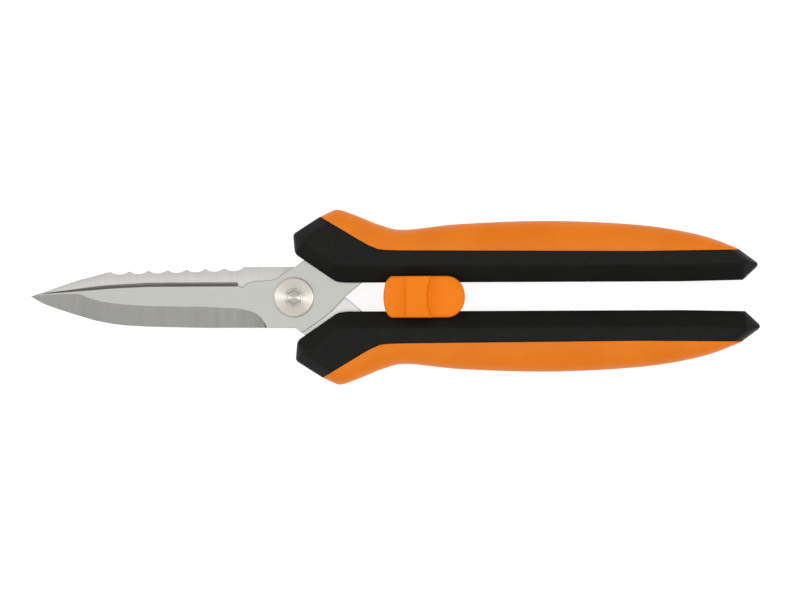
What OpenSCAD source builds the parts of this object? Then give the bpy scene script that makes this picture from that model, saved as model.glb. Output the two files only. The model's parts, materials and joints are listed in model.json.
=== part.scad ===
// Floral snips: two crossing blades with soft-grip handles and a sliding latch.
// The origin is on the pivot axis, midway between the two blades.
// +X runs from the pivot along the handles, +Y is the upper handle's side and +Z is the bolt head's side.

/* [Blades] */
// Length from the pivot to the tips
blade_reach = 76; // [72:0.1:80]
// Thickness of each blade
blade_t = 2; // [1.6:0.1:2.2]
// Gap between the two blades, which the bearing washer keeps
blade_gap = 0.1; // [0.06:0.02:0.2]
// Depth of the flat blade edge below or above the pivot
blade_back = 8.8; // [8.2:0.05:8.9]
// Number of saw scallops on the rear blade's back
scallops = 7; // [5:1:8]
// Pitch of the scallops
scallop_pitch = 5.5; // [5:0.1:5.8]
// Depth of each scallop
scallop_depth = 0.85; // [0.4:0.05:1]

/* [Pivot] */
// Diameter of the bolt head
bolt_head_d = 11.4; // [10:0.1:12]
// Thickness of the bolt head
bolt_head_t = 1.5; // [1.2:0.1:2]
// Diameter of the bolt's shank
shank_d = 6; // [5:0.5:7]
// Hex socket, across flats
socket_af = 3.7; // [3:0.1:4]
// Radial running clearance of the front blade on the shank
pivot_clearance = 0.05; // [0.02:0.01:0.1]

/* [Handles] */
// Distance from the pivot to the rear tip of the upper handle
handle_end = 134.4; // [132:0.1:136]
// Full thickness of a handle
handle_t = 15; // [14:0.5:17]
// Gap between the closed handles
handle_gap = 8.3; // [8:0.1:8.6]
// How much further back the lower handle sits than the upper one
lower_shift = 0.6; // [0:0.05:1]
// Height of the flat wall that faces the other handle
wall_h = 7.6; // [7.4:0.1:9]
// Width of the chamfer between that wall and the flat top, in plan
chamfer_w = 4.9; // [4:0.1:5.5]
// Thickness of the rigid spine inside the grip
spine_t = 8.4; // [7:0.2:9]

/* [Latch] */
// Length of the latch button
latch_l = 23.5; // [21:0.5:24]
// Width of the latch button
latch_w = 12; // [11:0.5:12.5]
// How far the latch slides
latch_travel = 6; // [5:0.5:6]
// Height of the latch button's rib above the blades' plane
latch_top = 9.3; // [8.5:0.1:10]

/* [Return spring] */
// Outer diameter of the coil
spring_d = 5.8; // [5:0.1:6]
// Wire diameter
spring_wire = 0.7; // [0.5:0.1:0.9]

/* [Hidden] */
$fn = 64;
eps = 0.01;
big = 60;

steel = "silver";
orange = "darkorange";
black = "dimgray";

top_z = handle_t / 2;
wall_z = wall_h / 2;
spine_z = spine_t / 2;
inner_u = handle_gap / 2;

// Blade levels, measured from the middle of the gap
face_z = blade_gap / 2;
back_z = face_z + blade_t;

// Back of the rear blade: first cusp of the saw, its height and how fast the row of cusps falls
saw_start = -14.8;
saw_top = 8.8;
saw_slope = 0.027;
bolt_play = 0.02;

// Bearing and spring washers
washer_t = 0.5;
washer_d = 9.4;
spring_washer_t = 0.4;
thread_d = 4.5;
nut_t = 2.4;
nut_af = 9;
nut_start = back_z + spring_washer_t;

// Tang inside each handle
tang_low = 9;
tang_high = 15.5;
tang_end = 72;
tang_holes = [34, 60];

// Latch: the stem stands in the gap, a foot slides in the lower handle and a hook meets the upper one
latch_x = 25.8;
latch_r = latch_w / 2;
plate_z = 5.5;
plate_top = 7.4;
keeper_t = 1.6;
stem_x = 28;
stem_l = 5;
stem_w = 6;
neck_z = 1;
foot_z = 2.2;
foot_low = 5.9;
foot_high = 7.6;
slot_play = 0.4;
slot_high = 7.9;
lip_t = 1.6;
mouth_play = 1.2;
screw_x = stem_x + stem_l / 2;
screw_d = 2.2;
screw_head_d = 4.2;

// Return spring and its pockets
spring_x = 44;
pocket_d = spring_d + 0.6;
pocket_high = 7.1;
peg_d = spring_d - 2 * spring_wire - 0.6;
peg_h = 2;
seat_x = [26.7, 47.4];
seat_z = 3.4;

// One point of a smooth curve through the control points a, b, c, d, between b and c
function catmull(a, b, c, d, t) =
    0.5 * (2 * b + (c - a) * t + (2 * a - 5 * b + 4 * c - d) * t * t
        + (3 * b - a - 3 * c + d) * t * t * t);

// A smooth curve through the points p with n steps between neighbours
function smooth(p, n = 5) = [
    for (i = [0 : len(p) - 2], k = [0 : n - 1])
        catmull(p[max(i - 1, 0)], p[i], p[i + 1], p[min(i + 2, len(p) - 1)], k / n),
    p[len(p) - 1]
];

function arc(centre, r, from, to, n = 12) = [
    for (i = [0 : n])
        let (a = from + (to - from) * i / n)
        centre + r * [cos(a), sin(a)]
];

function flip(p) = [for (i = [len(p) - 1 : -1 : 0]) [p[i].x, -p[i].y]];

// Scales the outline in front of the pivot to the blade's reach
function reach(p) = [for (q = p) q.x < 0 ? [q.x * blade_reach / 76, q.y] : q];

// Knife edge of the front blade, from the tip to the pivot, and its cutting edge back to the tip
knife_edge = smooth([[-76, 0.62], [-72.4, -1.5], [-67.2, -3.45], [-62, -5.1], [-57, -6.55], [-52, -7.5],
    [-46.7, -8.05], [-39, -8.4], [-25, -8.75]]);
cutting_edge = smooth([[-16.4, 4.4], [-39, 4.4], [-45.4, 4.2], [-52, 3.85], [-58, 3.35], [-64.7, 2.4],
    [-71, 1.65]]);
// Back of the rear blade, from the last scallop to the tip
saw_front = smooth([[-53.4, 7.5], [-55.7, 6.95], [-58.2, 6.25], [-62, 5.3], [-66, 4], [-70, 2.6],
    [-75.6, 0.7]]);
// Hidden cutting edge of the rear blade, from the tip towards the pivot
rear_cutting_edge = smooth([[-75.6, 0.7], [-71, -1.2], [-64.7, -2.4], [-58, -3.3], [-52, -3.85], [-39, -4.4],
    [-16.4, -4.4]]);

// Edge of either blade from its flat back round to the crotch between the tangs
shoulder = concat([[0.45, -blade_back], [2, -10]],
    smooth([[2.6, -9.95], [3.5, -9.5], [6.6, -7.3], [9.6, -5.1], [11.8, -3.1], [13.3, -1.4],
        [14.85, 0.2]], 2));
// Tang that runs into the upper handle, from the crotch to the pivot side
tang = concat([[20.2, 4.6]], smooth([[23.6, 7.6], [26.4, 8.8], [30, tang_low]], 3),
    arc([tang_end - 3.25, (tang_low + tang_high) / 2], (tang_high - tang_low) / 2, -90, 90),
    smooth([[14, tang_high], [9, 15], [6, 13.8], [3.4, 11.1]], 4), [[0.45, blade_back]]);
// From the tang to the step where the cutting edge begins, with the wire notch
heel = concat([[-0.2, blade_back - 0.05]],
    smooth([[-4, 6.2], [-5.5, 5.2], [-8.4, 4.85], [-11.7, 4.6], [-14.2, 3.75]], 3),
    [[-15.1, 2.9], [-16, 3.5]]);

module blade_bores(bore_r, side) {
    translate([0, 0, -big / 2]) cylinder(r = bore_r, h = big);
    // Recess for half of the bearing washer
    translate([0, 0, side > 0 ? -eps : -washer_t / 2 - 0.02])
        cylinder(d = washer_d + 0.1, h = washer_t / 2 + 0.02 + eps);
    for (x = tang_holes)
        translate([x, side * (tang_low + tang_high) / 2, -big / 2]) cylinder(d = 3.4, h = big);
}

// Wedge that grinds a bevel: its sloping face starts at the line p to q and drops by the given angle
module grind(p, q, angle, height) {
    d = q - p;
    translate([p.x, p.y, height]) rotate([0, 0, atan2(d.y, d.x)]) rotate([angle, 0, 0])
        translate([0, -30, 0]) cube([norm(d), 30, 10]);
}

module front_blade() color(steel)
    difference() {
        translate([0, 0, face_z]) linear_extrude(blade_t)
            polygon(reach(concat(knife_edge, shoulder, tang, heel, cutting_edge)));
        blade_bores(shank_d / 2 + pivot_clearance, 1);
        // Broad knife bevel, then the narrow steep bevel of the cutting edge
        grind([-100, -0.3], [-9, -3.2], 14, back_z);
        grind([-16.2, 3.3], [-75, 1.4], 42, back_z);
    }

module rear_blade() color(steel)
    difference() {
        translate([0, 0, -back_z]) linear_extrude(blade_t)
            polygon(reach(concat(rear_cutting_edge, flip(heel), flip(tang), flip(shoulder),
                [[-12, blade_back], [-14.7, saw_top], [-20.3, saw_top - 0.4]], saw_front)));
        blade_bores(shank_d / 2 + bolt_play, -1);
        for (i = [0 : scallops - 1])
            let (x = saw_start - (i + 0.5) * scallop_pitch, chord = scallop_pitch - 0.2,
                r = (chord * chord / 4 + scallop_depth * scallop_depth) / 2 / scallop_depth,
                edge = saw_top - 0.35 + (x - saw_start + scallop_pitch) * saw_slope)
            translate([x, edge + r - scallop_depth, -big / 2]) cylinder(r = r, h = big);
        // Saw bevel on the front face, then the cutting bevel on the back face
        mirror([0, 1, 0]) grind([-100, 0.6], [-9, -3], 7, -face_z);
        rotate([180, 0, 0]) grind([-16.2, 3.3], [-75, 1.4], 42, back_z);
    }

module pivot_bolt() color(steel)
    difference() {
        union() {
            translate([0, 0, back_z + 0.05]) rotate_extrude()
                polygon([[0, 0], [bolt_head_d / 2, 0], [bolt_head_d / 2, bolt_head_t - 0.3],
                    [bolt_head_d / 2 - 0.3, bolt_head_t], [0, bolt_head_t]]);
            translate([0, 0, -back_z]) cylinder(d = shank_d, h = 2 * back_z + 0.1);
            translate([0, 0, -nut_start - nut_t - 0.4])
                cylinder(d = thread_d, h = nut_t + spring_washer_t + 0.5);
        }
        translate([0, 0, back_z + bolt_head_t - 1.4]) rotate([0, 0, 30])
            cylinder(d = socket_af / cos(30), h = 5, $fn = 6);
        translate([0, 0, back_z + bolt_head_t - 0.35]) rotate_extrude()
            polygon([[0, 0], [socket_af / 2 + 0.1, 0], [socket_af / 2 + 0.6, 0.41], [0, 0.41]]);
    }

module bearing_washer() color(orange)
    translate([0, 0, -washer_t / 2]) ring(washer_d, shank_d, washer_t);

module spring_washer() color(steel)
    translate([0, 0, -nut_start]) ring(bolt_head_d - 1, thread_d, spring_washer_t);

module pivot_nut() color(steel)
    difference() {
        intersection() {
            translate([0, 0, -nut_start - nut_t]) cylinder(d = nut_af / cos(30), h = nut_t, $fn = 6);
            // Turned chamfer on the corners
            translate([0, 0, -nut_start - nut_t]) rotate_extrude()
                polygon([[0, 0], [nut_af / 2, 0], [nut_af / 2 + 0.9, 0.6], [nut_af / 2 + 0.9, nut_t],
                    [0, nut_t]]);
        }
        translate([0, 0, -big / 2]) cylinder(d = thread_d, h = big);
    }

module ring(d_out, d_in, h)
    difference() {
        cylinder(d = d_out, h = h);
        translate([0, 0, -1]) cylinder(d = d_in, h = h + 2);
    }

// Handle outlines in plan, for the upper handle. u is the distance from the middle of the gap.
nose_top = [7.6, 23.2];
tail = handle_end - 134.4;
outer_curve = smooth([nose_top, [10.4, 24.6], [13.2, 25.25], [19, 23.2], [25, 20.8], [32, 19.4], [48, 21],
    [74, 21.8], [100, 20.5], [117, 17.65], [127, 14.1], [128.7 + tail, 13.2]], 6);
split_curve = concat([nose_top], smooth([[19.4, 16.1], [22.5, 14.5], [26.5, 13.5], [40, 13.3]], 3),
    [[100, 12.9], [123, 13.15], [128.7 + tail, 13.2]]);
tip_corners = [[129.6 + tail, inner_u + 0.35], [handle_end, 9], [128.7 + tail, 13.2]];
nose_edges = [[-0.1, 18.3], [0.25, 13.4], [0.9, 12.1], [11.4, 4.95]];

// Stations along the orange side, closer together round the nose
stations = concat([for (x = [7.9 : 1.2 : 31]) x], [for (x = [34 : 5 : 119]) x], [122, 125, 128.2]);

black_outline = concat([nose_top], nose_edges, smooth([nose_edges[3], [12.6, 4.45], [14.8, inner_u]], 3),
    [[112, inner_u]], tip_corners,
    [for (i = [len(stations) - 1 : -1 : 0]) [stations[i], lookup(stations[i], split_curve)]]);

spine_outline = concat([[4, 17], [4, 12.9], [13.4, 6.4], [125, 6.4], [129, 9], [125, 12]],
    [for (x = [119 : -5 : 24]) [x, lookup(x, split_curve) + 1.4]], [[19, 17.6], [14, 20.2], [9, 19]]);

// Width in plan of the facets at the nose's top, front and underside, and at the rear tip
nose_top_w = 3.2;
nose_front_w = 3;
nose_under_w = 4.1;
tip_w = 2.2;

// Cuts the facet that rises inwards from the outline's edge p to q, over width w, on both faces
module facet(p, q, w) {
    d = q - p;
    for (side = [0, 1]) mirror([0, 0, side])
        translate([p.x, p.y, wall_z])
            rotate([0, 0, atan2(d.y, d.x)]) rotate([atan2(top_z - wall_z, w), 0, 0])
            translate([-big, -big / 2, 0]) cube([norm(d) + 2 * big, big, big / 4]);
}

// Height of that facet over the point c
function facet_height(c, p, q, w) =
    let (d = (q - p) / norm(q - p))
    wall_z + (d.x * (c.y - p.y) - d.y * (c.x - p.x)) * (top_z - wall_z) / w;

// Height of the flat top over the point c, lower where a facet at either end reaches it
function top_height(c) = min(top_z, facet_height(c, nose_top, nose_edges[0], nose_top_w),
    facet_height(c, tip_corners[1], tip_corners[2], tip_w));

module black_form()
    difference() {
        translate([0, 0, -top_z]) linear_extrude(handle_t) polygon(black_outline);
        facet(nose_top, nose_edges[0], nose_top_w);
        facet(nose_edges[0], nose_edges[1], nose_front_w);
        facet(nose_edges[2], nose_edges[3], nose_under_w);
        facet([14, inner_u], [129, inner_u], chamfer_w);
        facet(tip_corners[0], tip_corners[1], tip_w);
        facet(tip_corners[1], tip_corners[2], tip_w);
    }

// Solid through rings of equal length, in order along +X
module loft(rings) {
    n = len(rings[0]);
    m = len(rings);
    polyhedron(
        points = [for (r = rings, q = r) q],
        faces = concat(
            [[for (i = [n - 1 : -1 : 0]) i]],
            [for (j = [0 : m - 2], i = [0 : n - 1])
                [j * n + i, j * n + (i + 1) % n, j * n + n + (i + 1) % n, j * n + n + i]],
            [[for (i = [0 : n - 1]) (m - 1) * n + i]]));
}

// Rounded orange side: a fuller-than-round section from the flat top to the outer edge
function dome_ring(x) =
    let (low = lookup(x, split_curve), w = lookup(x, outer_curve) - low, h = top_height([x, low]),
        p = 2 / 2.6)
    [for (i = [0 : 12]) let (a = 90 - 15 * i, s = sin(a))
        [x, low + w * pow(max(cos(a), 0), p), h * sign(s) * pow(abs(s), p)]];

module dome() loft([for (x = stations) dome_ring(x)]);

// Part of the rigid core that comes through the grip behind the latch
module seat()
    translate([seat_x[0], inner_u - 0.05, -seat_z])
        cube([seat_x[1] - seat_x[0], 4, 2 * seat_z]);

module spine() translate([0, 0, -spine_z]) linear_extrude(spine_t) polygon(spine_outline);

// Moves what is drawn for the upper handle to the side given, +1 upper or -1 lower
module on_side(side)
    translate([side < 0 ? lower_shift : 0, 0, 0]) mirror([0, side < 0 ? 1 : 0, 0]) children();

module spring_pocket()
    translate([spring_x, 0, 0]) rotate([-90, 0, 0]) difference() {
        cylinder(d = pocket_d, h = pocket_high);
        translate([0, 0, pocket_high - peg_h]) cylinder(d = peg_d, h = peg_h + 1);
    }

// Straight groove for a T-shaped foot: narrow lips in front of a wider chamber
module t_slot(x0, x1) {
    translate([x0, 0, -neck_z - 0.15]) cube([x1 - x0, slot_high, 2 * neck_z + 0.3]);
    translate([x0, inner_u + lip_t, -foot_z - 0.3])
        cube([x1 - x0, slot_high - inner_u - lip_t, 2 * foot_z + 0.6]);
}

module handle_core(side) {
    foot_end = stem_x + stem_l + latch_travel + slot_play;
    difference() {
        union() {
            on_side(side) {
                dome();
                spine();
            }
            mirror([0, side < 0 ? 1 : 0, 0]) seat();
        }
        mirror([0, side < 0 ? 1 : 0, 0]) {
            spring_pocket();
            t_slot(stem_x - slot_play, foot_end);
            // Wide mouth that the hook leaves through when the latch is released
            if (side > 0)
                translate([stem_x - mouth_play, 0, -foot_z - 0.3])
                    cube([stem_l + 2 * mouth_play, slot_high, 2 * foot_z + 0.6]);
        }
        tang_space(side);
    }
}

module tang_space(side)
    translate([0, 0, side > 0 ? face_z : -back_z]) linear_extrude(blade_t) difference() {
        polygon(side > 0 ? concat([[14.85, 0.2]], tang) : flip(concat([[14.85, 0.2]], tang)));
        for (x = tang_holes) translate([x, side * (tang_low + tang_high) / 2]) circle(d = 3.4);
    }

module handle_grip(side)
    difference() {
        on_side(side) difference() {
            black_form();
            spine();
        }
        mirror([0, side < 0 ? 1 : 0, 0]) seat();
        tang_space(side);
    }

module upper_handle_core() color(orange) handle_core(1);
module lower_handle_core() color(orange) handle_core(-1);
module upper_handle_grip() color(black) handle_grip(1);
module lower_handle_grip() color(black) handle_grip(-1);

module return_spring() color(steel)
    translate([spring_x, -pocket_high, 0]) rotate([-90, 0, 0])
        ring(spring_d, spring_d - 2 * spring_wire, 2 * pocket_high);

// Latch outline: square end with rounded corners towards the pivot, round end behind
module latch_plan()
    translate([latch_x, 0]) polygon(concat(
        arc([latch_l - latch_r, 0], latch_r, -90, 90, 24),
        arc([2.3, latch_r - 2.3], 2.3, 90, 180, 8),
        arc([2.3, 2.3 - latch_r], 2.3, 180, 270, 8)));

module latch_button() color("orange")
    difference() {
        union() {
            translate([0, 0, plate_z]) linear_extrude(plate_top - plate_z) latch_plan();
            // Thumb rib across the plate
            translate([latch_x + 5.6, -latch_r + 0.4, plate_z]) cube([7, latch_w - 0.8, latch_top - plate_z]);
            translate([stem_x, -stem_w / 2, -plate_z]) cube([stem_l, stem_w, 2 * plate_z + 1]);
            for (side = [-1, 1]) {
                translate([stem_x, side > 0 ? 0 : -foot_high, -neck_z]) cube([stem_l, foot_high, 2 * neck_z]);
                translate([stem_x, side > 0 ? foot_low : -foot_high, -foot_z])
                    cube([stem_l, foot_high - foot_low, 2 * foot_z]);
            }
        }
        translate([screw_x, 0, -plate_z - 1]) cylinder(d = screw_d, h = 8);
    }

module latch_keeper() color("orange")
    difference() {
        translate([0, 0, -plate_z - keeper_t]) linear_extrude(keeper_t) latch_plan();
        translate([screw_x, 0, -big / 2]) cylinder(d = screw_d, h = big);
        translate([screw_x, 0, -plate_z - keeper_t]) screw_head_space();
    }

module screw_head_space() rotate_extrude()
    polygon([[0, -eps], [screw_head_d / 2, -eps], [screw_head_d / 2, 0], [screw_d / 2, 1], [0, 1]]);

module latch_screw() color(steel)
    difference() {
        translate([screw_x, 0, -plate_z - keeper_t]) union() {
            rotate_extrude() polygon([[0, 0], [screw_head_d / 2, 0], [screw_d / 2, 1], [0, 1]]);
            cylinder(d = screw_d, h = keeper_t + 6);
        }
        // Cross recess
        for (a = [0, 90]) translate([screw_x, 0, -plate_z - keeper_t]) rotate([0, 0, a])
            cube([2.2, 0.5, 1.2], center = true);
    }

front_blade();
rear_blade();
pivot_bolt();
bearing_washer();
spring_washer();
pivot_nut();
upper_handle_core();
upper_handle_grip();
lower_handle_core();
lower_handle_grip();
return_spring();
latch_button();
latch_keeper();
latch_screw();
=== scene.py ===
"""Floral snips: the looks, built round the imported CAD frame. Lengths are in millimetres until mesh time."""

import json
import math

import bmesh
import bpy
import numpy as np
from mathutils import Matrix, Vector

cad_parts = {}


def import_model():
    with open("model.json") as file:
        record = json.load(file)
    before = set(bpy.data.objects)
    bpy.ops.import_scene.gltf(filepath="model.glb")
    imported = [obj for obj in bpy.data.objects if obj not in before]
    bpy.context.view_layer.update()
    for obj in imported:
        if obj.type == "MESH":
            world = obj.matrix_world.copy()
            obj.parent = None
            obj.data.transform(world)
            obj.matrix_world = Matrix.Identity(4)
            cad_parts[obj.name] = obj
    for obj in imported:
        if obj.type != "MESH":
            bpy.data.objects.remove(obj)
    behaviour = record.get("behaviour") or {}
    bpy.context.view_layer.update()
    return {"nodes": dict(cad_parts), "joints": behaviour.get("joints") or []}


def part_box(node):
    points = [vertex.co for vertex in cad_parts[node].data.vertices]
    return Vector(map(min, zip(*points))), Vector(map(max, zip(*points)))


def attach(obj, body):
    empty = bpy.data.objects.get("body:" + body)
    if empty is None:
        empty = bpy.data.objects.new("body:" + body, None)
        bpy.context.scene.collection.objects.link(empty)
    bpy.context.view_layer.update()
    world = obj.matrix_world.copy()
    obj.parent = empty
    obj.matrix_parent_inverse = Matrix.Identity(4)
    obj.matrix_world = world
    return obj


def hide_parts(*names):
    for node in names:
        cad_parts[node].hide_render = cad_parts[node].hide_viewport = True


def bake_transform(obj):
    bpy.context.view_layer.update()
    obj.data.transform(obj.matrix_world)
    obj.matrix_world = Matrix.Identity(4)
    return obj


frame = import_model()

MM = 0.001


# ---------------------------------------------------------------- dimensions, from the frame

def box_mm(node):
    low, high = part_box(node)
    return np.array(low) / MM, np.array(high) / MM


GRIP_LOW, GRIP_HIGH = box_mm("upper_handle_grip")
LOWER_GRIP_END = box_mm("lower_handle_grip")[1][0]
BLADE_LOW, BLADE_HIGH = box_mm("front_blade")
BOLT_LOW, BOLT_HIGH = box_mm("pivot_bolt")
BUTTON_LOW, BUTTON_HIGH = box_mm("latch_button")
KEEPER_LOW, KEEPER_HIGH = box_mm("latch_keeper")
SPRING_LOW, SPRING_HIGH = box_mm("return_spring")
NUT_LOW, NUT_HIGH = box_mm("pivot_nut")
SCREW_LOW, SCREW_HIGH = box_mm("latch_screw")

TOP = GRIP_HIGH[2]                       # flat tops of the handles, above the blades' plane
INNER = GRIP_LOW[1]                      # inner wall of the upper handle, from the middle of the gap
HANDLE_END = GRIP_HIGH[0]
LOWER_SHIFT = LOWER_GRIP_END - HANDLE_END  # how far behind the upper handle the lower one sits
REACH = -BLADE_LOW[0] / 76               # outlines in front of the pivot are stretched to the blade's reach
FACE, BACK = BLADE_LOW[2], BLADE_HIGH[2]
WALL = 3.8                               # half height of the handles' flat inner wall
SPINE = 4.2                              # half thickness of the rigid spine inside the grip
SEAT_X, SEAT_Z = (26.7, 47.4), 3.4       # where the rigid core shows through behind the latch


# ---------------------------------------------------------------- curves and mesh helpers

def smooth(points, steps):
    """A Catmull-Rom curve through the points, with this many steps between two of them."""
    p = np.array(points, float)
    out = []
    for i in range(len(p) - 1):
        a, b, c, d = p[max(i - 1, 0)], p[i], p[i + 1], p[min(i + 2, len(p) - 1)]
        for k in range(steps):
            t = k / steps
            out.append(0.5 * (2 * b + (c - a) * t + (2 * a - 5 * b + 4 * c - d) * t ** 2
                              + (3 * b - a - 3 * c + d) * t ** 3))
    out.append(p[-1])
    return [tuple(q) for q in out]


def arc(centre, r, start, end, n):
    """Points on a circle between two angles in degrees."""
    angles = np.radians(np.linspace(start, end, n + 1))
    return [(centre[0] + r * math.cos(a), centre[1] + r * math.sin(a)) for a in angles]


def along(curve):
    """y as a function of x on a curve whose x only rises."""
    p = np.array(curve)
    return lambda x: np.interp(x, p[:, 0], p[:, 1])


def step(x, start, end):
    """Rises smoothly from 0 at start to 1 at end."""
    t = np.clip((x - start) / (end - start), 0, 1)
    return t * t * (3 - 2 * t)


def reach(points):
    """Stretches what lies in front of the pivot to the blade's reach."""
    return [(x * REACH, y) if x < 0 else (x, y) for x, y in points]


def flip(points):
    """The points mirrored over y = 0, in the opposite order."""
    return [(x, -y) for x, y in reversed(points)]


def new_object(name, mesh):
    obj = bpy.data.objects.new(name, mesh)
    bpy.context.scene.collection.objects.link(obj)
    return obj


def mesh_object(name, verts, faces):
    """An object from vertices in millimetres, with its faces turned outwards."""
    mesh = bpy.data.meshes.new(name)
    mesh.from_pydata([tuple(np.array(v, float) * MM) for v in verts], [], faces)
    bm = bmesh.new()
    bm.from_mesh(mesh)
    bmesh.ops.recalc_face_normals(bm, faces=bm.faces)
    bm.to_mesh(mesh)
    bm.free()
    return new_object(name, mesh)


def loft(name, rings):
    """Closed solid through rings of equal length."""
    n = len(rings[0])
    verts = [v for ring in rings for v in ring]
    last = (len(rings) - 1) * n
    faces = [list(range(n)), list(range(last, last + n))]
    for j in range(len(rings) - 1):
        for i in range(n):
            k = (i + 1) % n
            faces.append([j * n + i, j * n + k, (j + 1) * n + k, (j + 1) * n + i])
    return mesh_object(name, verts, faces)


def extrude(name, outline, z0, z1):
    return loft(name, [[(x, y, z) for x, y in outline] for z in (z0, z1)])


def block(name, low, high):
    (x0, y0, z0), (x1, y1, z1) = low, high
    return extrude(name, [(x0, y0), (x1, y0), (x1, y1), (x0, y1)], z0, z1)


def lathe(name, profile, segments=96, turn=0.0):
    """Solid of revolution about Z through (radius, z) points, with flat ends."""
    angles = turn + 2 * math.pi * np.arange(segments) / segments
    return loft(name, [[(r * math.cos(a), r * math.sin(a), z) for a in angles] for r, z in profile])


def rod(name, radius, z0, z1, segments=96):
    return lathe(name, [(radius, z0), (radius, z1)], segments)


def place(obj, x=0.0, y=0.0, z=0.0):
    obj.data.transform(Matrix.Translation(Vector((x, y, z)) * MM))
    return obj


def bake(obj):
    """Applies the object's modifiers to its mesh."""
    depsgraph = bpy.context.evaluated_depsgraph_get()
    mesh = bpy.data.meshes.new_from_object(obj.evaluated_get(depsgraph))
    obj.modifiers.clear()
    obj.data = mesh
    return obj


def boolean(obj, other, operation="DIFFERENCE"):
    """Cuts or adds other, which is used up."""
    m = obj.modifiers.new("cut", "BOOLEAN")
    m.object, m.operation, m.solver = other, operation, "EXACT"
    bake(obj)
    bpy.data.objects.remove(other)
    return obj


def bevel(obj, width, segments, angle):
    """Bevels the edges that are sharper than the angle."""
    m = obj.modifiers.new("bevel", "BEVEL")
    m.width, m.segments, m.limit_method = width * MM, segments, "ANGLE"
    m.angle_limit = math.radians(angle)
    return bake(obj)


def shade(obj, angle):
    """Smooth faces, with creases sharper than the angle kept."""
    for p in obj.data.polygons:
        p.use_smooth = True
    obj.data.set_sharp_from_angle(angle=math.radians(angle))
    return obj


def join(obj, *others):
    """Adds the other objects' meshes to obj's mesh."""
    bm = bmesh.new()
    for o in (obj, *others):
        bm.from_mesh(o.data)
    bm.to_mesh(obj.data)
    bm.free()
    for o in others:
        bpy.data.objects.remove(o)
    return obj


def mirrored(obj, dx):
    """Turns what was built for the upper handle into the lower one, moved back by dx."""
    bm = bmesh.new()
    bm.from_mesh(obj.data)
    for v in bm.verts:
        v.co.y = -v.co.y
        v.co.x += dx * MM
    bmesh.ops.reverse_faces(bm, faces=bm.faces)
    bm.to_mesh(obj.data)
    bm.free()
    return obj


# ---------------------------------------------------------------- materials

NOISE_ROUGHNESS = 0.55
STREAK_DEPTH = 0.004                     # of the brushed steel's streaks


class Shader:
    """A small helper to wire a Principled material."""

    def __init__(self, name):
        self.material = bpy.data.materials.new(name)
        self.material.use_nodes = True
        self.nodes = self.material.node_tree.nodes
        self.links = self.material.node_tree.links
        self.bsdf = self.nodes["Principled BSDF"]
        self.coords = self.nodes.new("ShaderNodeTexCoord").outputs["Object"]

    def set(self, **values):
        for key, value in values.items():
            self.bsdf.inputs[key.replace("_", " ")].default_value = value
        return self

    def node(self, kind, values=(), **settings):
        n = self.nodes.new("ShaderNode" + kind)
        for key, value in settings.items():
            setattr(n, key, value)
        for key, value in dict(values).items():
            if isinstance(value, bpy.types.NodeSocket):
                self.links.new(value, n.inputs[key])
            else:
                n.inputs[key].default_value = value
        return n

    def noise(self, scale, detail, stretch=(1, 1, 1), turn=0.0):
        """Noise with features of this size in millimetres, drawn out along the axes with a big stretch."""
        mapped = self.node("Mapping", {"Vector": self.coords, "Rotation": (0, 0, turn),
                                       "Scale": tuple(1 / (scale * MM * s) for s in stretch)})
        n = self.node("TexNoise", {"Vector": mapped.outputs[0], "Scale": 1.0, "Detail": detail,
                                   "Roughness": NOISE_ROUGHNESS})
        return n.outputs[0]

    def ramp(self, fac, low, high, start=0.3, end=0.7):
        n = self.node("MapRange", {"Value": fac, "From Min": start, "From Max": end,
                                   "To Min": low, "To Max": high})
        return n.outputs[0]

    def tint(self, fac, dark, light):
        n = self.node("Mix", {"Factor": fac}, data_type="RGBA")
        n.inputs["A"].default_value = (*dark, 1)
        n.inputs["B"].default_value = (*light, 1)
        return n.outputs["Result"]

    def bump(self, height, distance, strength=1.0, normal=None):
        values = {"Height": height, "Distance": distance * MM, "Strength": strength}
        if normal is not None:
            values["Normal"] = normal
        return self.node("Bump", values).outputs[0]

    def link(self, output, socket):
        self.links.new(output, self.bsdf.inputs[socket])
        return self


def moulded_plastic(name, dark, light, rough, grain=0.35, depth=0.012):
    """Coloured moulded plastic with a faint grain and slow colour drift."""
    s = Shader(name)
    s.link(s.tint(s.ramp(s.noise(14, 2), 0, 1), dark, light), "Base Color")
    s.link(s.ramp(s.noise(1.2, 4), rough - 0.05, rough + 0.07), "Roughness")
    s.link(s.bump(s.noise(grain, 3), depth), "Normal")
    return s.set(Specular_IOR_Level=0.12).material


def soft_grip(name):
    """Black elastomer with a fine spark-eroded texture."""
    s = Shader(name)
    dark, light = (0.0075, 0.0075, 0.0069), (0.0100, 0.0100, 0.0092)
    s.link(s.tint(s.ramp(s.noise(9, 3), 0, 1), dark, light), "Base Color")
    s.link(s.ramp(s.noise(0.9, 3), 0.50, 0.66), "Roughness")
    fine = s.bump(s.noise(0.22, 2), 0.02, 0.8)
    s.link(s.bump(s.noise(0.6, 3), 0.03, 0.5, fine), "Normal")
    return s.set(Specular_IOR_Level=0.14, Sheen_Weight=0.05, Sheen_Roughness=0.35).material


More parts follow.
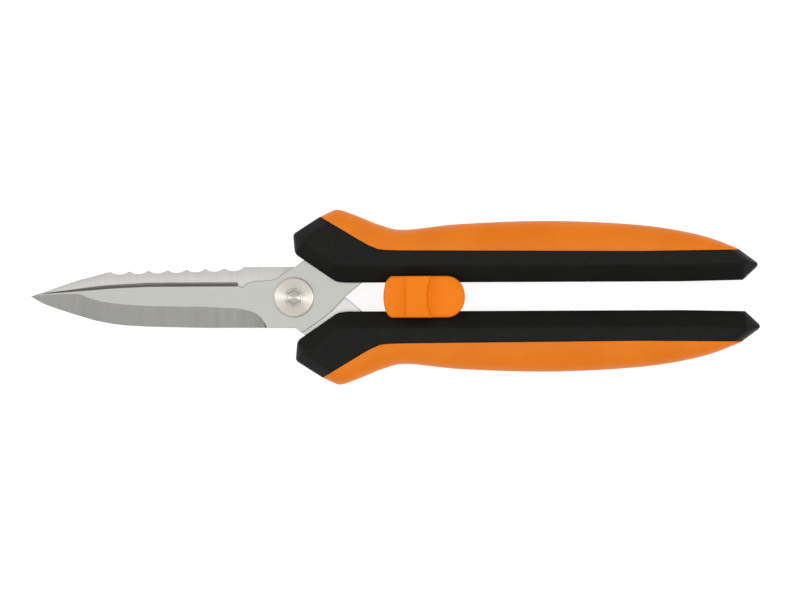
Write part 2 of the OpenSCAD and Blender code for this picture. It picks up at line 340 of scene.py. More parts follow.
def brushed_steel(name, dark, light, rough, stretch, scale=0.12, cross_turn=None):
    """Ground steel with streaks along the stretched axes, and others turned by cross_turn if it is given."""
    s = Shader(name)
    streaks = s.noise(scale, 4, stretch)
    broad = s.noise(scale * 9, 3, stretch)
    both = s.node("Mix", {"Factor": 0.45, "A": streaks, "B": broad}, data_type="FLOAT").outputs["Result"]
    if cross_turn:
        across = s.noise(scale * 5, 3, stretch, cross_turn)
        both = s.node("Mix", {"Factor": 0.35, "A": both, "B": across}, data_type="FLOAT").outputs["Result"]
    s.link(s.tint(s.ramp(both, 0, 1, 0.35, 0.65), dark, light), "Base Color")
    s.link(s.ramp(both, rough - 0.05, rough + 0.05), "Roughness")
    s.link(s.bump(streaks, STREAK_DEPTH, 0.6), "Normal")
    return s.set(Metallic=1.0).material


def turned_steel(name, colour, ring_width):
    """Lathe-turned metal: concentric rings about the pivot axis, and reflections drawn across them."""
    s = Shader(name)
    scale = 1 / (ring_width * MM) / 20 * math.pi
    wave = s.node("TexWave", {"Vector": s.coords, "Scale": scale, "Distortion": 0.3, "Detail": 2.0},
                  wave_type="RINGS", rings_direction="Z", wave_profile="SIN")
    dark = tuple(c * 0.86 for c in colour)
    s.link(s.tint(s.ramp(wave.outputs["Fac"], 0, 1, 0.1, 0.9), dark, colour), "Base Color")
    s.link(s.bump(wave.outputs["Fac"], 0.012, 0.7), "Normal")
    s.link(s.node("Tangent", direction_type="RADIAL", axis="Z").outputs[0], "Tangent")
    return s.set(Metallic=1.0, Roughness=0.47, Anisotropic=0.85, Anisotropic_Rotation=0.25).material


def plain_steel(name, dark, light, rough=0.28):
    s = Shader(name)
    s.link(s.tint(s.ramp(s.noise(1.5, 4), 0, 1), dark, light), "Base Color")
    s.link(s.ramp(s.noise(0.5, 3), rough - 0.05, rough + 0.08), "Roughness")
    return s.set(Metallic=1.0).material


ORANGE = moulded_plastic("handle_orange", (0.84, 0.208, 0.011), (0.90, 0.232, 0.016), 0.46)
LATCH_ORANGE = moulded_plastic("latch_orange", (0.97, 0.222, 0.004), (1.0, 0.240, 0.007), 0.42, 0.5, 0.006)
GRIP = soft_grip("grip_black")
FLAT = brushed_steel("blade_flat", (0.318, 0.318, 0.296), (0.380, 0.380, 0.358), 0.36, (14, 1, 1))
BEVEL = brushed_steel("blade_bevel", (0.465, 0.460, 0.440), (0.525, 0.520, 0.500), 0.34, (1, 40, 40),
                      scale=0.2)
SAW = brushed_steel("saw_face", (0.415, 0.408, 0.398), (0.510, 0.502, 0.492), 0.34, (1, 22, 22), scale=0.16,
                    cross_turn=0.45)
# Darker steel for the narrow cutting strip and the small chamfers round the blades' edges: painted shade,
# standing in for the shadow lines along the blades' edges and the strip's darker reflection.
SHADED_STEEL = brushed_steel("cutting_strip_painted_shade", (0.200, 0.190, 0.175), (0.250, 0.236, 0.220), 0.36, (14, 1, 1))
SIDE = plain_steel("blade_side", (0.42, 0.42, 0.40), (0.50, 0.50, 0.48), 0.4)
BOLT = turned_steel("bolt_turned", (0.70, 0.662, 0.605), 0.32)
NICKEL = plain_steel("nickel", (0.50, 0.47, 0.43), (0.60, 0.57, 0.53))
WIRE = plain_steel("spring_wire", (0.42, 0.42, 0.43), (0.52, 0.52, 0.53))
ACETAL = moulded_plastic("washer_acetal", (0.70, 0.69, 0.65), (0.76, 0.75, 0.71), 0.4)


def paint(obj, *materials):
    obj.data.materials.clear()
    for m in materials:
        obj.data.materials.append(m)
    return obj


def paint_by(obj, choose):
    """Sets each face's material slot to choose(Z of its normal)."""
    for p in obj.data.polygons:
        p.material_index = choose(p.normal.z)


# ---------------------------------------------------------------- handles

NOSE_TOP = (7.6, 23.2)
DRAWN_END = 134.4                        # where the outlines below end; the tail moves to the frame's end
TAIL = HANDLE_END - DRAWN_END
OUTER = smooth([NOSE_TOP, (10.4, 24.6), (13.2, 25.25), (19, 23.2), (25, 20.8), (32, 19.4), (48, 21),
                (74, 21.8), (100, 20.5), (117, 17.65), (127, 14.1), (128.7 + TAIL, 13.2)], 12)
SPLIT = [NOSE_TOP] + smooth([(19.4, 16.1), (22.5, 14.5), (26.5, 13.5), (40, 13.3)], 8) + [
    (100, 12.9), (123, 13.15), (128.7 + TAIL, 13.2)]
TIP = [(129.6 + TAIL, INNER + 0.35), (HANDLE_END, 9), (128.7 + TAIL, 13.2)]
NOSE = [(-0.1, 18.3), (0.25, 13.4), (0.9, 12.1), (11.4, 4.95)]
NOSE_START = (-0.1, 17.5)
INNER_EDGE = [NOSE_START, (0.25, 13.4), (0.5, 12.7), (0.95, 12.1)] + smooth(
    [NOSE[3], (12.6, 4.45), (14.8, INNER)], 6) + [(112, INNER)] + TIP[:2]
OUTER_EDGE = [NOSE_START, (-0.02, 18), (0.3, 18.55)] + SPLIT + [TIP[1]]
TIP_R, TIP_HALF_ANGLE = 1.2, math.radians(40)
TIP_CENTRE = HANDLE_END - TIP_R / math.sin(TIP_HALF_ANGLE)
TIP_U = TIP[1][1] - 0.11
EDGE_R, NOSE_R, END_R = 0.35, 0.8, 1.25  # rounding of the grip's outer edges: sides, nose and rear tip
NOSE_FADE, END_FADE = (0.5, 3.5), (126.5, 130)  # where the edges' rounding changes along the handle
SEAM_R = 0.22                            # rounding of the orange side where it meets the grip
RIDGE_R = 0.1                            # softness of the ridges between the faces
CHAMFER_START, CHAMFER_WIDTH = 12, 4.85  # the long chamfer beside the gap
LEAST_HEIGHT = 0.3                       # of the grip at its outline, above the middle plane
DOME_STEPS, FULLNESS = 26, 2.6           # of the orange side's curve

outer_u, split_u, inner_u, edge_u = along(OUTER), along(SPLIT), along(INNER_EDGE), along(OUTER_EDGE)


def facet(p, q, width, crown):
    """Height over the plan of the facet that rises inwards from the edge p to q, bulging with the crown."""
    p, d = np.array(p, float), np.array(q, float) - np.array(p, float)
    d = d / np.linalg.norm(d)

    def height(x, u):
        t = (d[0] * (u - p[1]) - d[1] * (x - p[0])) / width
        return WALL + (TOP - WALL) * np.where(t < 1, t + crown * t * (1 - t), t)
    return height


def inner_facet(x, u):
    """The long chamfer beside the gap."""
    return WALL + (u - inner_u(x)) * (TOP - WALL) / CHAMFER_WIDTH


FACETS = [facet(NOSE_TOP, NOSE[0], 3.2, 0.15), facet(NOSE[0], NOSE[1], 3.1, 0.5),
          facet(NOSE[2], NOSE[3], 4.05, 0.1),
          facet(TIP[0], TIP[1], 2.6, 0.8), facet(TIP[1], TIP[2], 2.6, 0.8)]


def outline_distance(x, u):
    """Distance in plan from a point inside the grip to its outline."""
    nearest = np.full(u.shape, np.inf)
    for chain in (INNER_EDGE, OUTER_EDGE):
        for p, q in zip(chain, chain[1:]):
            p, d = np.array(p, float), np.array(q, float) - np.array(p, float)
            t = np.clip(((x - p[0]) * d[0] + (u - p[1]) * d[1]) / (d @ d), 0, 1)
            nearest = np.minimum(nearest, np.hypot(x - p[0] - t * d[0], u - p[1] - t * d[1]))
    return nearest


def rounded(d, r):
    """How far a rounded edge of radius r lies under the sharp one at distance d inside it."""
    return r - np.sqrt(np.clip(r * r - np.clip(r - d, 0, r) ** 2, 0, None))


def face_height(x, u):
    """Height of the handle's faces: the lowest of them, with the ridges between them rounded."""
    heights = [TOP + 0 * u] + [f(x, u) for f in FACETS] + [
        np.where(x > CHAMFER_START, inner_facet(x, u), np.inf)]
    low = np.min(heights, axis=0)
    total = sum(np.exp(-(h - low) / RIDGE_R) for h in heights)
    return low - RIDGE_R * np.log(total)


def grip_height(x, u):
    """Height of the grip, with its outer edges rounded."""
    radius = EDGE_R + (NOSE_R - EDGE_R) * (1 - step(x, *NOSE_FADE)) + (END_R - EDGE_R) * step(x, *END_FADE)
    return np.maximum(face_height(x, u) - rounded(outline_distance(x, u), radius), LEAST_HEIGHT)


def grip_stations():
    """Places of the grip's sections, closer together where its shape changes."""
    nose = NOSE_START[0] + np.array([0.004, 0.03, 0.07, 0.12, 0.18, 0.26, 0.35, 0.45, 0.6, 0.75, 0.9])
    turn = TIP_CENTRE + TIP_R * np.sin(np.linspace(TIP_HALF_ANGLE + 0.01, math.pi / 2 - 0.05, 9))
    return np.concatenate([nose, np.arange(1.0, 16, 0.25), np.arange(16, 31, 0.5), np.arange(31, 122, 1.2),
                           np.arange(122, turn[0] - 0.1, 0.25), turn])


def grip_ring(x):
    """Section of the grip, which ends in a round tip."""
    low, high = float(inner_u(x)), float(edge_u(x))
    if x > TIP_CENTRE + TIP_R * math.sin(TIP_HALF_ANGLE):
        half = math.sqrt(TIP_R ** 2 - (x - TIP_CENTRE) ** 2)
        low, high = TIP_U - half, TIP_U + half
    margin = min(EDGE_R, (high - low) / 4)
    edge = margin * (1 - np.cos(np.linspace(0, math.pi / 2, 5)))
    u = np.concatenate([low + edge, np.linspace(low + margin, high - margin, 28)[1:-1], (high - edge)[::-1]])
    z = grip_height(np.full_like(u, x), u)
    wall = np.linspace(-1, 1, 7)[1:-1]
    top = list(zip(u, z))
    outer = [(high, z[-1] * -w) for w in wall]
    bottom = [(a, -b) for a, b in reversed(top)]
    inner = [(low, z[0] * w) for w in wall]
    return [(x, a, b) for a, b in top + outer + bottom + inner]


def dome_ring(x):
    """Section of the orange side: rounded at the grip, then a fuller-than-round curve to the edge."""
    low, high = float(split_u(x)), float(outer_u(x))
    width = max(high - low, 0.02)
    h = min(float(face_height(np.array([x]), np.array([low]))[0]), TOP)
    seam = min(SEAM_R, width / 4)
    turn = np.linspace(0, math.pi / 2, 5)[:-1]
    side = [(low + seam * (1 - math.cos(a)), h - seam * (1 - math.sin(a))) for a in turn]
    crown = []
    for a in np.linspace(math.pi / 2, 0, DOME_STEPS + 1):
        s, c = math.sin(a), max(math.cos(a), 0)
        crown.append((low + seam + (width - seam) * c ** (2 / FULLNESS), h * s ** (2 / FULLNESS)))
    upper = side + crown
    lower = [(u, -z) for u, z in reversed(upper[:-1])]
    return [(x, u, z) for u, z in upper + lower]


def dome_stations():
    return np.concatenate([NOSE_TOP[0] + np.array([0.06, 0.2, 0.4, 0.6]), np.arange(8.5, 31, 0.35),
                           np.arange(31, 120, 1.2), np.arange(120, 128.6 + TAIL, 0.35), [128.6 + TAIL]])


def spine_outline():
    """Outline of the rigid spine, which reaches a little way into the orange side."""
    upper = [(x, float(split_u(x)) + 1.4) for x in range(119, 23, -5)]
    return [(4, 17), (4, 12.9), (13.4, 6.4), (125, 6.4), (129, 9), (125, 12)] + upper + [
        (19, 17.6), (14, 20.2), (9, 19)]


def spine(name):
    return extrude(name, spine_outline(), -SPINE, SPINE)


def handle_grip(name, side):
    grip = loft(name, [grip_ring(x) for x in grip_stations()])
    boolean(grip, spine("spine_space"))
    dx = LOWER_SHIFT if side < 0 else 0
    x0, x1 = SEAT_X[0] - dx, SEAT_X[1] - dx
    boolean(grip, block("seat_space", (x0, INNER - 1, -SEAT_Z), (x1, INNER + 3, SEAT_Z)))
    if side < 0:
        mirrored(grip, dx)
    return paint(shade(grip, 40), GRIP)


def handle_core(name, side):
    core = loft(name, [dome_ring(x) for x in dome_stations()])
    inside = spine("spine_block")
    seat = block("seat_block", (SEAT_X[0], INNER, -SEAT_Z), (SEAT_X[1], INNER + 4, SEAT_Z))
    if side < 0:
        mirrored(core, LOWER_SHIFT)
        mirrored(inside, LOWER_SHIFT)
        mirrored(seat, 0)
    boolean(inside, seat, "UNION")
    for cutter in latch_cutters(side):
        boolean(inside, cutter)
    join(core, inside)
    return paint(shade(core, 40), ORANGE)


# ---------------------------------------------------------------- latch

STEM_X, STEM_L, STEM_W = 28.0, 5.0, 6.0
NECK_Z, FOOT_Z, FOOT = 1.0, 2.2, (5.9, 7.6)
TRAVEL = frame["joints"][1]["range_m"][1] / MM
SLOT_HIGH, LIP = 7.9, 1.6
SPRING_X = (SPRING_LOW[0] + SPRING_HIGH[0]) / 2
SPRING_R = (SPRING_HIGH[0] - SPRING_LOW[0]) / 2
POCKET = SPRING_HIGH[1]                  # how deep the spring's pocket is, from the middle of the gap
END_GAP, NECK_GAP, FOOT_GAP, MOUTH_GAP = 0.4, 0.15, 0.3, 1.2  # play round the latch's neck and feet
SPRING_GAP = 0.3                         # play round the spring in its pocket
PEG_R, PEG_LENGTH = 1.9, 2               # peg at the bottom of the pocket


def latch_cutters(side):
    """The grooves and the spring pocket in one handle's core."""
    x0, x1 = STEM_X - END_GAP, STEM_X + STEM_L + TRAVEL + END_GAP
    z0, z1 = -FOOT_Z - FOOT_GAP, FOOT_Z + FOOT_GAP
    parts = [block("lips", (x0, 0, -NECK_Z - NECK_GAP), (x1, SLOT_HIGH, NECK_Z + NECK_GAP)),
             block("chamber", (x0, INNER + LIP, z0), (x1, SLOT_HIGH, z1))]
    if side > 0:
        mouth_end = STEM_X + STEM_L + MOUTH_GAP
        parts.append(block("mouth", (STEM_X - MOUTH_GAP, 0, z0), (mouth_end, SLOT_HIGH, z1)))
    r = SPRING_R + SPRING_GAP
    pocket = lathe("pocket", [(r, 0), (r, POCKET), (PEG_R, POCKET), (PEG_R, POCKET - PEG_LENGTH)], 48)
    for v in pocket.data.vertices:
        v.co = (v.co.x + SPRING_X * MM, v.co.z, -v.co.y)
    parts.append(pocket)
    if side < 0:
        for p in parts:
            mirrored(p, 0)
    return parts


BUTTON_X0, BUTTON_X1 = BUTTON_LOW[0], BUTTON_HIGH[0]
BUTTON_R = 6.0                           # half width of its middle
BOW_R = 12.6                             # radius of the bowed end
CORNER_START, CORNER_END, CORNER_DROP = 0.77, 2.6, 1.6  # the bowed end's rounded corners
ROUND_END, END_POWER = 5.3, 0.96         # length of the round end, and how nearly it is an ellipse
PLATE_Z = 5.5                            # underside of the thumb plate
PLATE_R, SKIRT = 0.85, 0.25              # rounding of its top edge, and chamfer of its lower one
RIB_TOP = BUTTON_HIGH[2]
RIB_X = 35.3                             # middle of the rib
SCOOP_FRONT, SCOOP_REAR = 6.95, 6.8      # heights of the two scoops


def button_half_width(x):
    """Half width of the latch: a bowed end with rounded corners towards the pivot, a round end behind."""
    d = x - BUTTON_X0
    bow = np.sqrt(np.clip(2 * BOW_R * d, 0, None))
    before_end = np.clip(CORNER_END - d, 0, None) / (CORNER_END - CORNER_START)
    left = np.where(d < CORNER_START, bow, BUTTON_R - CORNER_DROP * before_end ** 2)
    e = np.clip((BUTTON_X1 - x) / ROUND_END, 0, 1)
    right = BUTTON_R * np.sqrt(1 - (1 - e) ** 2) ** END_POWER
    return np.minimum(left, right)


def button_top(x, y):
    """Height of the latch's top: a scoop on each side of the rib, steepest in the middle of each wall."""
    across = np.abs(y) / BUTTON_R
    middle = 1 - step(across, 0.36, 0.62)
    ramp = 0.75 * step(x, 27.4, 31.4)
    left = SCOOP_FRONT - 0.5 * step(x, 26.5, 29.3) * (1 - across ** 2) + ramp
    front_wall = 0.8 * step(x, 31.5, 32.6) * (0.5 + 0.5 * middle) + 0.2 * step(x, 30.7, 33.0)
    rear_x = 37.9 + 1.15 * across ** 2
    rear_wall = 1 - 0.76 * step(x, rear_x + 0.1, rear_x + 1.1) - 0.24 * step(x, rear_x - 0.2, rear_x + 4.4)
    right = SCOOP_REAR + 0.35 * step(x, 42, 46) - 0.2 * step(x, 46, 49.3)
    rib = RIB_TOP - 0.1 * ((x - RIB_X) / 3) ** 2 - 0.3 * across ** 2
    low = np.where(x < RIB_X, left, right)
    share = np.where(x < RIB_X, front_wall / (0.8 * (0.5 + 0.5 * middle) + 0.2), rear_wall)
    return low + (rib - low) * np.clip(share, 0, 1)


def button_plate(name):
    """The latch's thumb plate with its edges rounded over."""
    xs = np.concatenate([BUTTON_X0 + 0.02 + 3.0 * np.linspace(0, 1, 22) ** 2, np.arange(29.5, 43.9, 0.16),
                         BUTTON_X1 - 0.02 - 5.4 * np.linspace(1, 0, 34) ** 2])
    rings = []
    for x in xs:
        w = max(float(button_half_width(x)), 0.05)
        share = np.sin(np.linspace(-1, 1, 49) * math.pi / 2)
        y = w * share
        gap = np.minimum(w - np.abs(y), PLATE_R)
        end_gap = np.clip(np.minimum(x - BUTTON_X0, BUTTON_X1 - x), 0, PLATE_R)
        near_end = w < BUTTON_R * 0.6
        d = np.minimum(gap, end_gap) if near_end else gap
        z = button_top(np.full_like(y, x), y) - rounded(d, PLATE_R)
        top = [(x, a, b) for a, b in zip(y, z)]
        low = max(w - SKIRT, 0.02)
        rings.append(top + [(x, w, PLATE_Z + SKIRT), (x, low, PLATE_Z),
                            (x, -low, PLATE_Z), (x, -w, PLATE_Z + SKIRT)])
    return loft(name, rings)


def latch_button():
    plate = button_plate("latch_slide_button")
    end = STEM_X + STEM_L
    body = block("stem", (STEM_X, -STEM_W / 2, -PLATE_Z), (end, STEM_W / 2, PLATE_Z + 1))
    for side in (-1, 1):
        y0, y1 = sorted((0, side * FOOT[1]))
        boolean(body, block("neck", (STEM_X, y0, -NECK_Z), (end, y1, NECK_Z)), "UNION")
        y0, y1 = sorted((side * FOOT[0], side * FOOT[1]))
        boolean(body, block("foot", (STEM_X, y0, -FOOT_Z), (end, y1, FOOT_Z)), "UNION")
    bevel(body, 0.15, 2, 30)
    join(plate, body)
    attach(plate, "latch")
    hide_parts("latch_button")
    return paint(shade(plate, 40), LATCH_ORANGE)


def latch_keeper():
    z0, z1 = KEEPER_LOW[2], KEEPER_HIGH[2]
    xs = np.concatenate([BUTTON_X0 + 0.02 + 2.6 * np.linspace(0, 1, 20) ** 2,
                         BUTTON_X1 - 0.02 - 5.3 * np.linspace(1, 0, 30) ** 2])
    half = [(x, float(button_half_width(x))) for x in xs]
    outline = half + flip(half)
    keeper = extrude("latch_rear_keeper", outline, z0, z1)
    bevel(keeper, 0.45, 4, 40)
    sink = lathe("sink", [(2.3, z0 - 1), (2.3, z0), (1.12, z0 + 1.05), (1.12, z1 + 1)], 48)
    boolean(keeper, place(sink, STEM_X + STEM_L / 2))
    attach(keeper, "latch")
    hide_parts("latch_keeper")
    return paint(shade(keeper, 35), LATCH_ORANGE)


def latch_screw():
    z0 = SCREW_LOW[2]
    r = (SCREW_HIGH[0] - SCREW_LOW[0]) / 2
    screw = lathe("latch_cross_screw", [(r - 0.35, z0), (r - 0.1, z0 + 0.08), (r, z0 + 0.2), (1.1, z0 + 1.05),
                                        (1.1, SCREW_HIGH[2])], 64)
    for x, y in ((0.25, 1.2), (1.2, 0.25)):
        boolean(screw, block("cross", (-x, -y, z0 - 1), (x, y, z0 + 0.75)))
    place(screw, STEM_X + STEM_L / 2)
    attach(screw, "latch")
    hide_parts("latch_screw")
    return paint(shade(screw, 30), NICKEL)


# ---------------------------------------------------------------- blades

FLAT_BACK = 8.8                          # distance of each blade's flat back from the pivot
TANG_U = 12.25                           # middle line of the tang
KNIFE = smooth([(-76, 0.62), (-72.4, -1.5), (-67.2, -3.45), (-62, -5.1), (-57, -6.55), (-52, -7.5),
                (-46.7, -8.05), (-39, -8.4), (-25, -8.75)], 10)
CUTTING = smooth([(-16.4, 4.4), (-39, 4.4), (-45.4, 4.2), (-52, 3.85), (-58, 3.35), (-64.7, 2.4),
                  (-71, 1.65)], 10)
SAW_FRONT = smooth([(-53.4, 7.5), (-55.7, 6.95), (-58.2, 6.25), (-62, 5.3), (-66, 4), (-70, 2.6),
                    (-75.6, 0.7)], 10)
REAR_CUTTING = smooth([(-75.6, 0.7), (-71, -1.2), (-64.7, -2.4), (-58, -3.3), (-52, -3.85), (-39, -4.4),
                       (-16.4, -4.4)], 10)
SHOULDER = [(0.45, -FLAT_BACK), (2, -10)] + smooth(
    [(2.6, -9.95), (3.5, -9.5), (6.6, -7.3), (9.6, -5.1), (11.8, -3.1), (13.3, -1.4), (14.85, 0.2)], 4)
TANG = ([(20.2, 4.6)] + smooth([(23.6, 7.6), (26.4, 8.8), (30, 9)], 4)
        + arc((68.75, TANG_U), 3.25, -90, 90, 24)
        + smooth([(14, 15.5), (9, 15), (6, 13.8), (3.4, 11.1)], 5) + [(0.45, FLAT_BACK)])
HEEL = [(-0.2, FLAT_BACK - 0.05)] + smooth(
    [(-4, 6.2), (-5.5, 5.2), (-8.4, 4.85), (-11.7, 4.6), (-14.2, 3.75)], 6) + [
    (-14.7, 3.0), (-15.1, 2.9), (-15.4, 3.05), (-16, 3.5)]
SAW_START, SAW_TOP, SAW_SLOPE = -14.8, 8.8, 0.027
SAW_PITCH, SAW_CHORD, SAW_DEPTH, SCALLOPS = 5.5, 5.3, 0.85, 7
FRONT_OUTLINE = reach(KNIFE + SHOULDER + TANG + HEEL + CUTTING)
REAR_OUTLINE = reach(REAR_CUTTING + flip(HEEL) + flip(TANG) + flip(SHOULDER)
                     + [(-12, FLAT_BACK), (-14.7, SAW_TOP), (-20.3, SAW_TOP - 0.4)] + SAW_FRONT)

# Where the broad bevel meets the flat, from the tip to its quarter-round end at the edge
BEVEL_LINE = smooth([(-76.6, 0.8), (-72.9, 0.93), (-67, 1.2), (-63.1, 1.23), (-61.2, 0.9), (-59.5, 0.17),
                     (-57, -0.64), (-54.4, -1.2), (-48, -1.93), (-39, -2.42), (-28, -2.6), (-18.3, -3.05),
                     (-15, -3.37), (-11.7, -4.3), (-9.7, -5.65), (-8.4, -7.4), (-7.6, -9.4)], 8)
# Where the narrow bevel of the cutting edge meets the flat, and where it steepens
STRIP_LINE = smooth([(-16.2, 3.2), (-39, 3.2), (-45.4, 3.05), (-52, 2.75), (-58, 2.3), (-64.7, 1.8),
                     (-73, 1.15)], 8)
STRIP_SLOPE, STEEP_STEP = 0.5, 0.72
STEEP_LINE = [(x, y + STEEP_STEP) for x, y in STRIP_LINE]
# Where the saw blade's ground front strip begins, behind the knife blade
SAW_LINE = smooth([(-76.5, 0.1), (-70, 0.9), (-60, 2), (-40, 2.9), (-20, 3), (-5, 3), (6, 3)], 8)


WEDGE_WIDTH = 14.0                       # the cutters reach clear past the blades' edges
WASHER_R, RECESS_DEPTH = 4.75, 0.22      # the bearing washer's recess in each blade
TANG_HOLES, TANG_HOLE_R = (34, 60), 1.7


def wedge(name, line, away, drop, top):
    """Cutter whose sloping face starts at the line and falls towards the side away (+1 or -1 in Y)."""
    rings = []
    for x, y in line:
        far = y + away * WEDGE_WIDTH
        rings.append([(x, y, top), (x, far, top - WEDGE_WIDTH * drop), (x, far, top + 2), (x, y, top + 2)])
    return loft(name, rings)


def bores(obj, radius, side):
    """The pivot's hole, the washer's recess and the holes in the tang."""
    boolean(obj, rod("bore", radius, -4, 4))
    z = (FACE - 1, FACE + RECESS_DEPTH) if side > 0 else (-FACE - RECESS_DEPTH, -FACE + 1)
    boolean(obj, rod("washer_recess", WASHER_R, *z))
    for x in TANG_HOLES:
        boolean(obj, place(rod("tang_hole", TANG_HOLE_R, -4, 4, 32), x, side * TANG_U))


def front_blade():
    blade = bevel(extrude("knife_blade", FRONT_OUTLINE, FACE, BACK), 0.12, 1, 60)
    boolean(blade, wedge("grind", reach(BEVEL_LINE), -1, 0.25, BACK))
    boolean(blade, wedge("strip", reach(STRIP_LINE), 1, STRIP_SLOPE, BACK))
    boolean(blade, wedge("steep_strip", reach(STEEP_LINE), 1, 1.5, BACK - STEEP_STEP * STRIP_SLOPE))
    bores(blade, 3.05, 1)
    paint(blade, FLAT, BEVEL, SHADED_STEEL, SIDE)

    def choose(normal_z):
        if abs(normal_z) > 0.999:
            return 0
        if normal_z > 0.9:
            return 1
        # Faces tilted between these, the cutting strip and the edge chamfers, take the darker steel: painted
        # shade for the shadow lines along the edges.
        return 2 if normal_z > 0.4 else 3

    paint_by(blade, choose)
    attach(blade, "upper_half")
    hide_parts("front_blade")
    return shade(blade, 8)


def rear_blade():
    blade = bevel(extrude("saw_blade", REAR_OUTLINE, -BACK, -FACE), 0.12, 1, 60)
    r = (SAW_CHORD ** 2 / 4 + SAW_DEPTH ** 2) / 2 / SAW_DEPTH
    for i in range(SCALLOPS):
        x = SAW_START - (i + 0.5) * SAW_PITCH
        edge = SAW_TOP - 0.35 + (x - SAW_START + SAW_PITCH) * SAW_SLOPE
        boolean(blade, place(rod("scallop", r, -4, 4, 160), x, edge + r - SAW_DEPTH))
    boolean(blade, wedge("saw_grind", reach(SAW_LINE), 1, 0.12, -FACE))
    under = wedge("rear_strip", reach(STRIP_LINE), 1, 0.9, BACK)
    for v in under.data.vertices:
        v.co.y, v.co.z = -v.co.y, -v.co.z
    boolean(blade, under)
    bores(blade, 3.0, -1)
    paint(blade, SAW, SAW, SHADED_STEEL, SIDE)

    def choose(normal_z):
        if abs(normal_z) > 0.9:
            return 0 if normal_z > 0 else 1
        # Tilted faces, the strip beneath and the edge chamfers, take the darker steel: painted shade for the
        # shadow lines along the edges.
        return 2 if abs(normal_z) > 0.3 else 3

    paint_by(blade, choose)
    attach(blade, "lower_half")
    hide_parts("rear_blade")
    return shade(blade, 8)


# ---------------------------------------------------------------- pivot

def hexagon(name, profile):
    """Six-sided solid through (distance between flats, z) points, with corners towards +Y and -Y."""
    return lathe(name, [(flats / math.sqrt(3), z) for flats, z in profile], 6, math.pi / 2)


def pivot_bolt():
    top = BOLT_HIGH[2]
    r = BOLT_HIGH[0]
    rim = top - 0.24                     # floor of the counterbore, where the hexagon begins
    bolt = lathe("pivot_screw_bolt", [
        (1.9, BOLT_LOW[2]), (2.25, BOLT_LOW[2] + 0.35), (2.25, -BACK), (3.0, -BACK), (3.0, BACK + 0.05),
        (r - 0.12, BACK + 0.05), (r, BACK + 0.2), (r, top - 0.3), (r - 0.1, top - 0.1), (r - 0.3, top),
        (2.7, top), (2.6, top - 0.04), (2.45, top - 0.2), (2.35, rim)], 128)
    boolean(bolt, hexagon("socket", [(0.5, top - 1.9), (3.3, top - 1.35), (3.7, top - 1.2), (3.7, rim - 0.42),
                                     (4.04, rim), (4.04, top + 1)]))
    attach(bolt, "lower_half")
    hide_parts("pivot_bolt")
    return paint(shade(bolt, 25), BOLT)


def pivot_nut():
    z0, z1 = NUT_LOW[2], NUT_HIGH[2]
    nut = hexagon("pivot_hex_nut", [(9.0, z0), (9.0, z1)])
    cap = lathe("chamfer", [(4.45, z0 - 0.01), (5.3, z0 + 0.6), (5.3, z1 + 1)])
    boolean(nut, cap, "INTERSECT")
    boolean(nut, lathe("thread_bore", [(2.75, z0 - 1), (2.75, z0), (2.27, z0 + 0.45), (2.27, z1 + 1)], 64))
    bevel(nut, 0.1, 2, 40)
    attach(nut, "lower_half")
    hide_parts("pivot_nut")
    return paint(shade(nut, 25), NICKEL)


def return_spring():
    """Coiled wire with closed ends."""
    wire, turns, turn_steps, wire_sides = 0.35, 11, 28, 10
    radius = SPRING_R - wire
    length = 2 * (POCKET - wire)
    steps = turns * turn_steps
    lead = 1.2 / turns                   # share of the wire in each closed end
    end = 2 * wire * 1.05                # height of a closed end
    up = np.array([0, 1, 0])
    rings = []
    for k in range(steps + 1):
        t = k / steps
        a = 2 * math.pi * turns * t
        rise = np.interp(t, (0, lead, 1 - lead, 1), (0, end, length - end, length))
        centre = np.array([radius * math.cos(a), rise - POCKET + wire, radius * math.sin(a)])
        out = np.array([math.cos(a), 0, math.sin(a)])
        ring = []
        for m in range(wire_sides):
            b = 2 * math.pi * m / wire_sides
            point = centre + wire * (math.cos(b) * out + math.sin(b) * up)
            ring.append(tuple(point + np.array([SPRING_X, 0, 0])))
        rings.append(ring)
    coil = loft("return_coil", rings)
    paint(shade(coil, 60), WIRE)
    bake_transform(coil)
    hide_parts("return_spring")
    return coil


# ---------------------------------------------------------------- build the object

for half, body, side in (("upper", "upper_half", 1), ("lower", "lower_half", -1)):
    for make, part, slot in ((handle_core, "core", "orange_plastic"), (handle_grip, "grip", "black_grip")):
        piece = make(f"{half}_{part}_moulding", side)
        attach(piece, body)
        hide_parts(f"{half}_handle_{part}")

front_blade()
rear_blade()
pivot_bolt()
pivot_nut()
return_spring()
latch_button()
latch_keeper()
latch_screw()
paint(frame["nodes"]["spring_washer"], WIRE)
paint(frame["nodes"]["bearing_washer"], ACETAL)


# ---------------------------------------------------------------- floor, light and camera

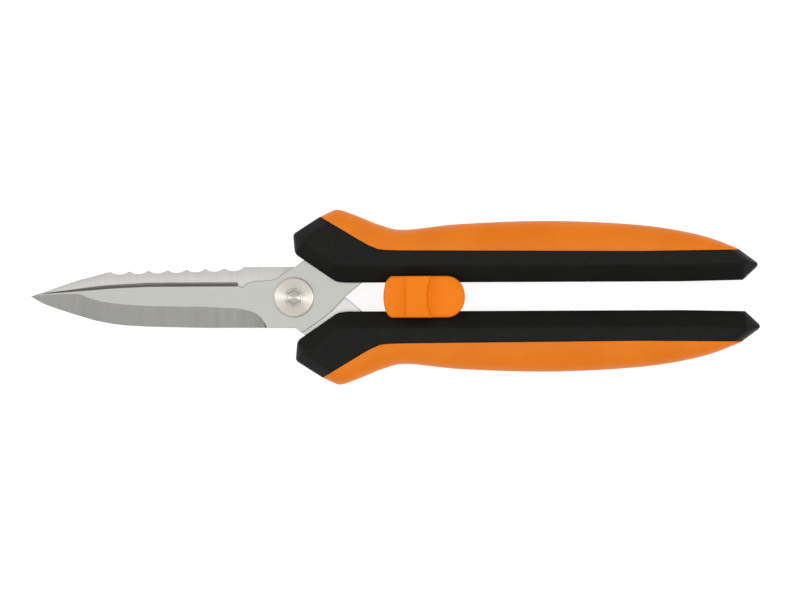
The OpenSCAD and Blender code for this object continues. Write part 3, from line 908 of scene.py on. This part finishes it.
def floor():
    size = 1600
    z = GRIP_LOW[2] - 0.02
    corners = [(-size, -size, z), (size, -size, z), (size, size, z), (-size, size, z)]
    plane = mesh_object("floor", corners, [[0, 1, 2, 3]])
    s = Shader("floor_white")
    s.link(s.tint(s.ramp(s.noise(180, 2), 0, 1), (0.34, 0.34, 0.34), (0.35, 0.35, 0.35)), "Base Color")
    s.set(Roughness=0.9, Specular_IOR_Level=0.1, Emission_Color=(1, 1, 1, 1), Emission_Strength=0.85)
    paint(plane, s.material)


def area_light(name, place_mm, target_mm, size, power):
    data = bpy.data.lights.new(name, "AREA")
    data.shape, data.size, data.size_y = "RECTANGLE", size[0] * MM, size[1] * MM
    data.energy = power
    lamp = new_object(name, data)
    lamp.location = Vector(place_mm) * MM
    lamp.rotation_euler = (Vector(target_mm) - Vector(place_mm)).to_track_quat("-Z", "Y").to_euler()
    return lamp


VIEW_CENTRE = (30.6, -0.9)               # middle of the view, over the blades' plane
VIEW_ROLL = math.radians(0.24)           # the object lies turned by this much in the view
VIEW_WIDTH = 230.6                       # width of the view there
VIEW_Z = 4                               # height of the plane in which the width is measured
CAMERA_LENS, SENSOR = 200.0, 36.0


def camera():
    data = bpy.data.cameras.new("camera")
    data.lens, data.sensor_width = CAMERA_LENS, SENSOR
    data.clip_end = 20
    cam = new_object("camera", data)
    distance = VIEW_WIDTH * CAMERA_LENS / SENSOR
    cam.location = Vector((VIEW_CENTRE[0], VIEW_CENTRE[1], distance + VIEW_Z)) * MM
    cam.rotation_euler = (0, 0, -VIEW_ROLL)
    bpy.context.scene.camera = cam


def world(strength):
    w = bpy.data.worlds.new("studio")
    w.use_nodes = True
    background = w.node_tree.nodes["Background"]
    background.inputs["Color"].default_value = (1, 1, 1, 1)
    background.inputs["Strength"].default_value = strength
    bpy.context.scene.world = w


floor()
world(0.49)
area_light("overhead", (30, -40, 1500), (30, 0, 0), (1000, 800), 4.6)
area_light("left_strip", (-900, 150, 700), (0, 0, 0), (300, 700), 2.9)
area_light("right_strip", (1000, 0, 700), (30, 0, 0), (300, 700), 2.9)
camera()
bpy.context.scene.view_settings.view_transform = "Standard"
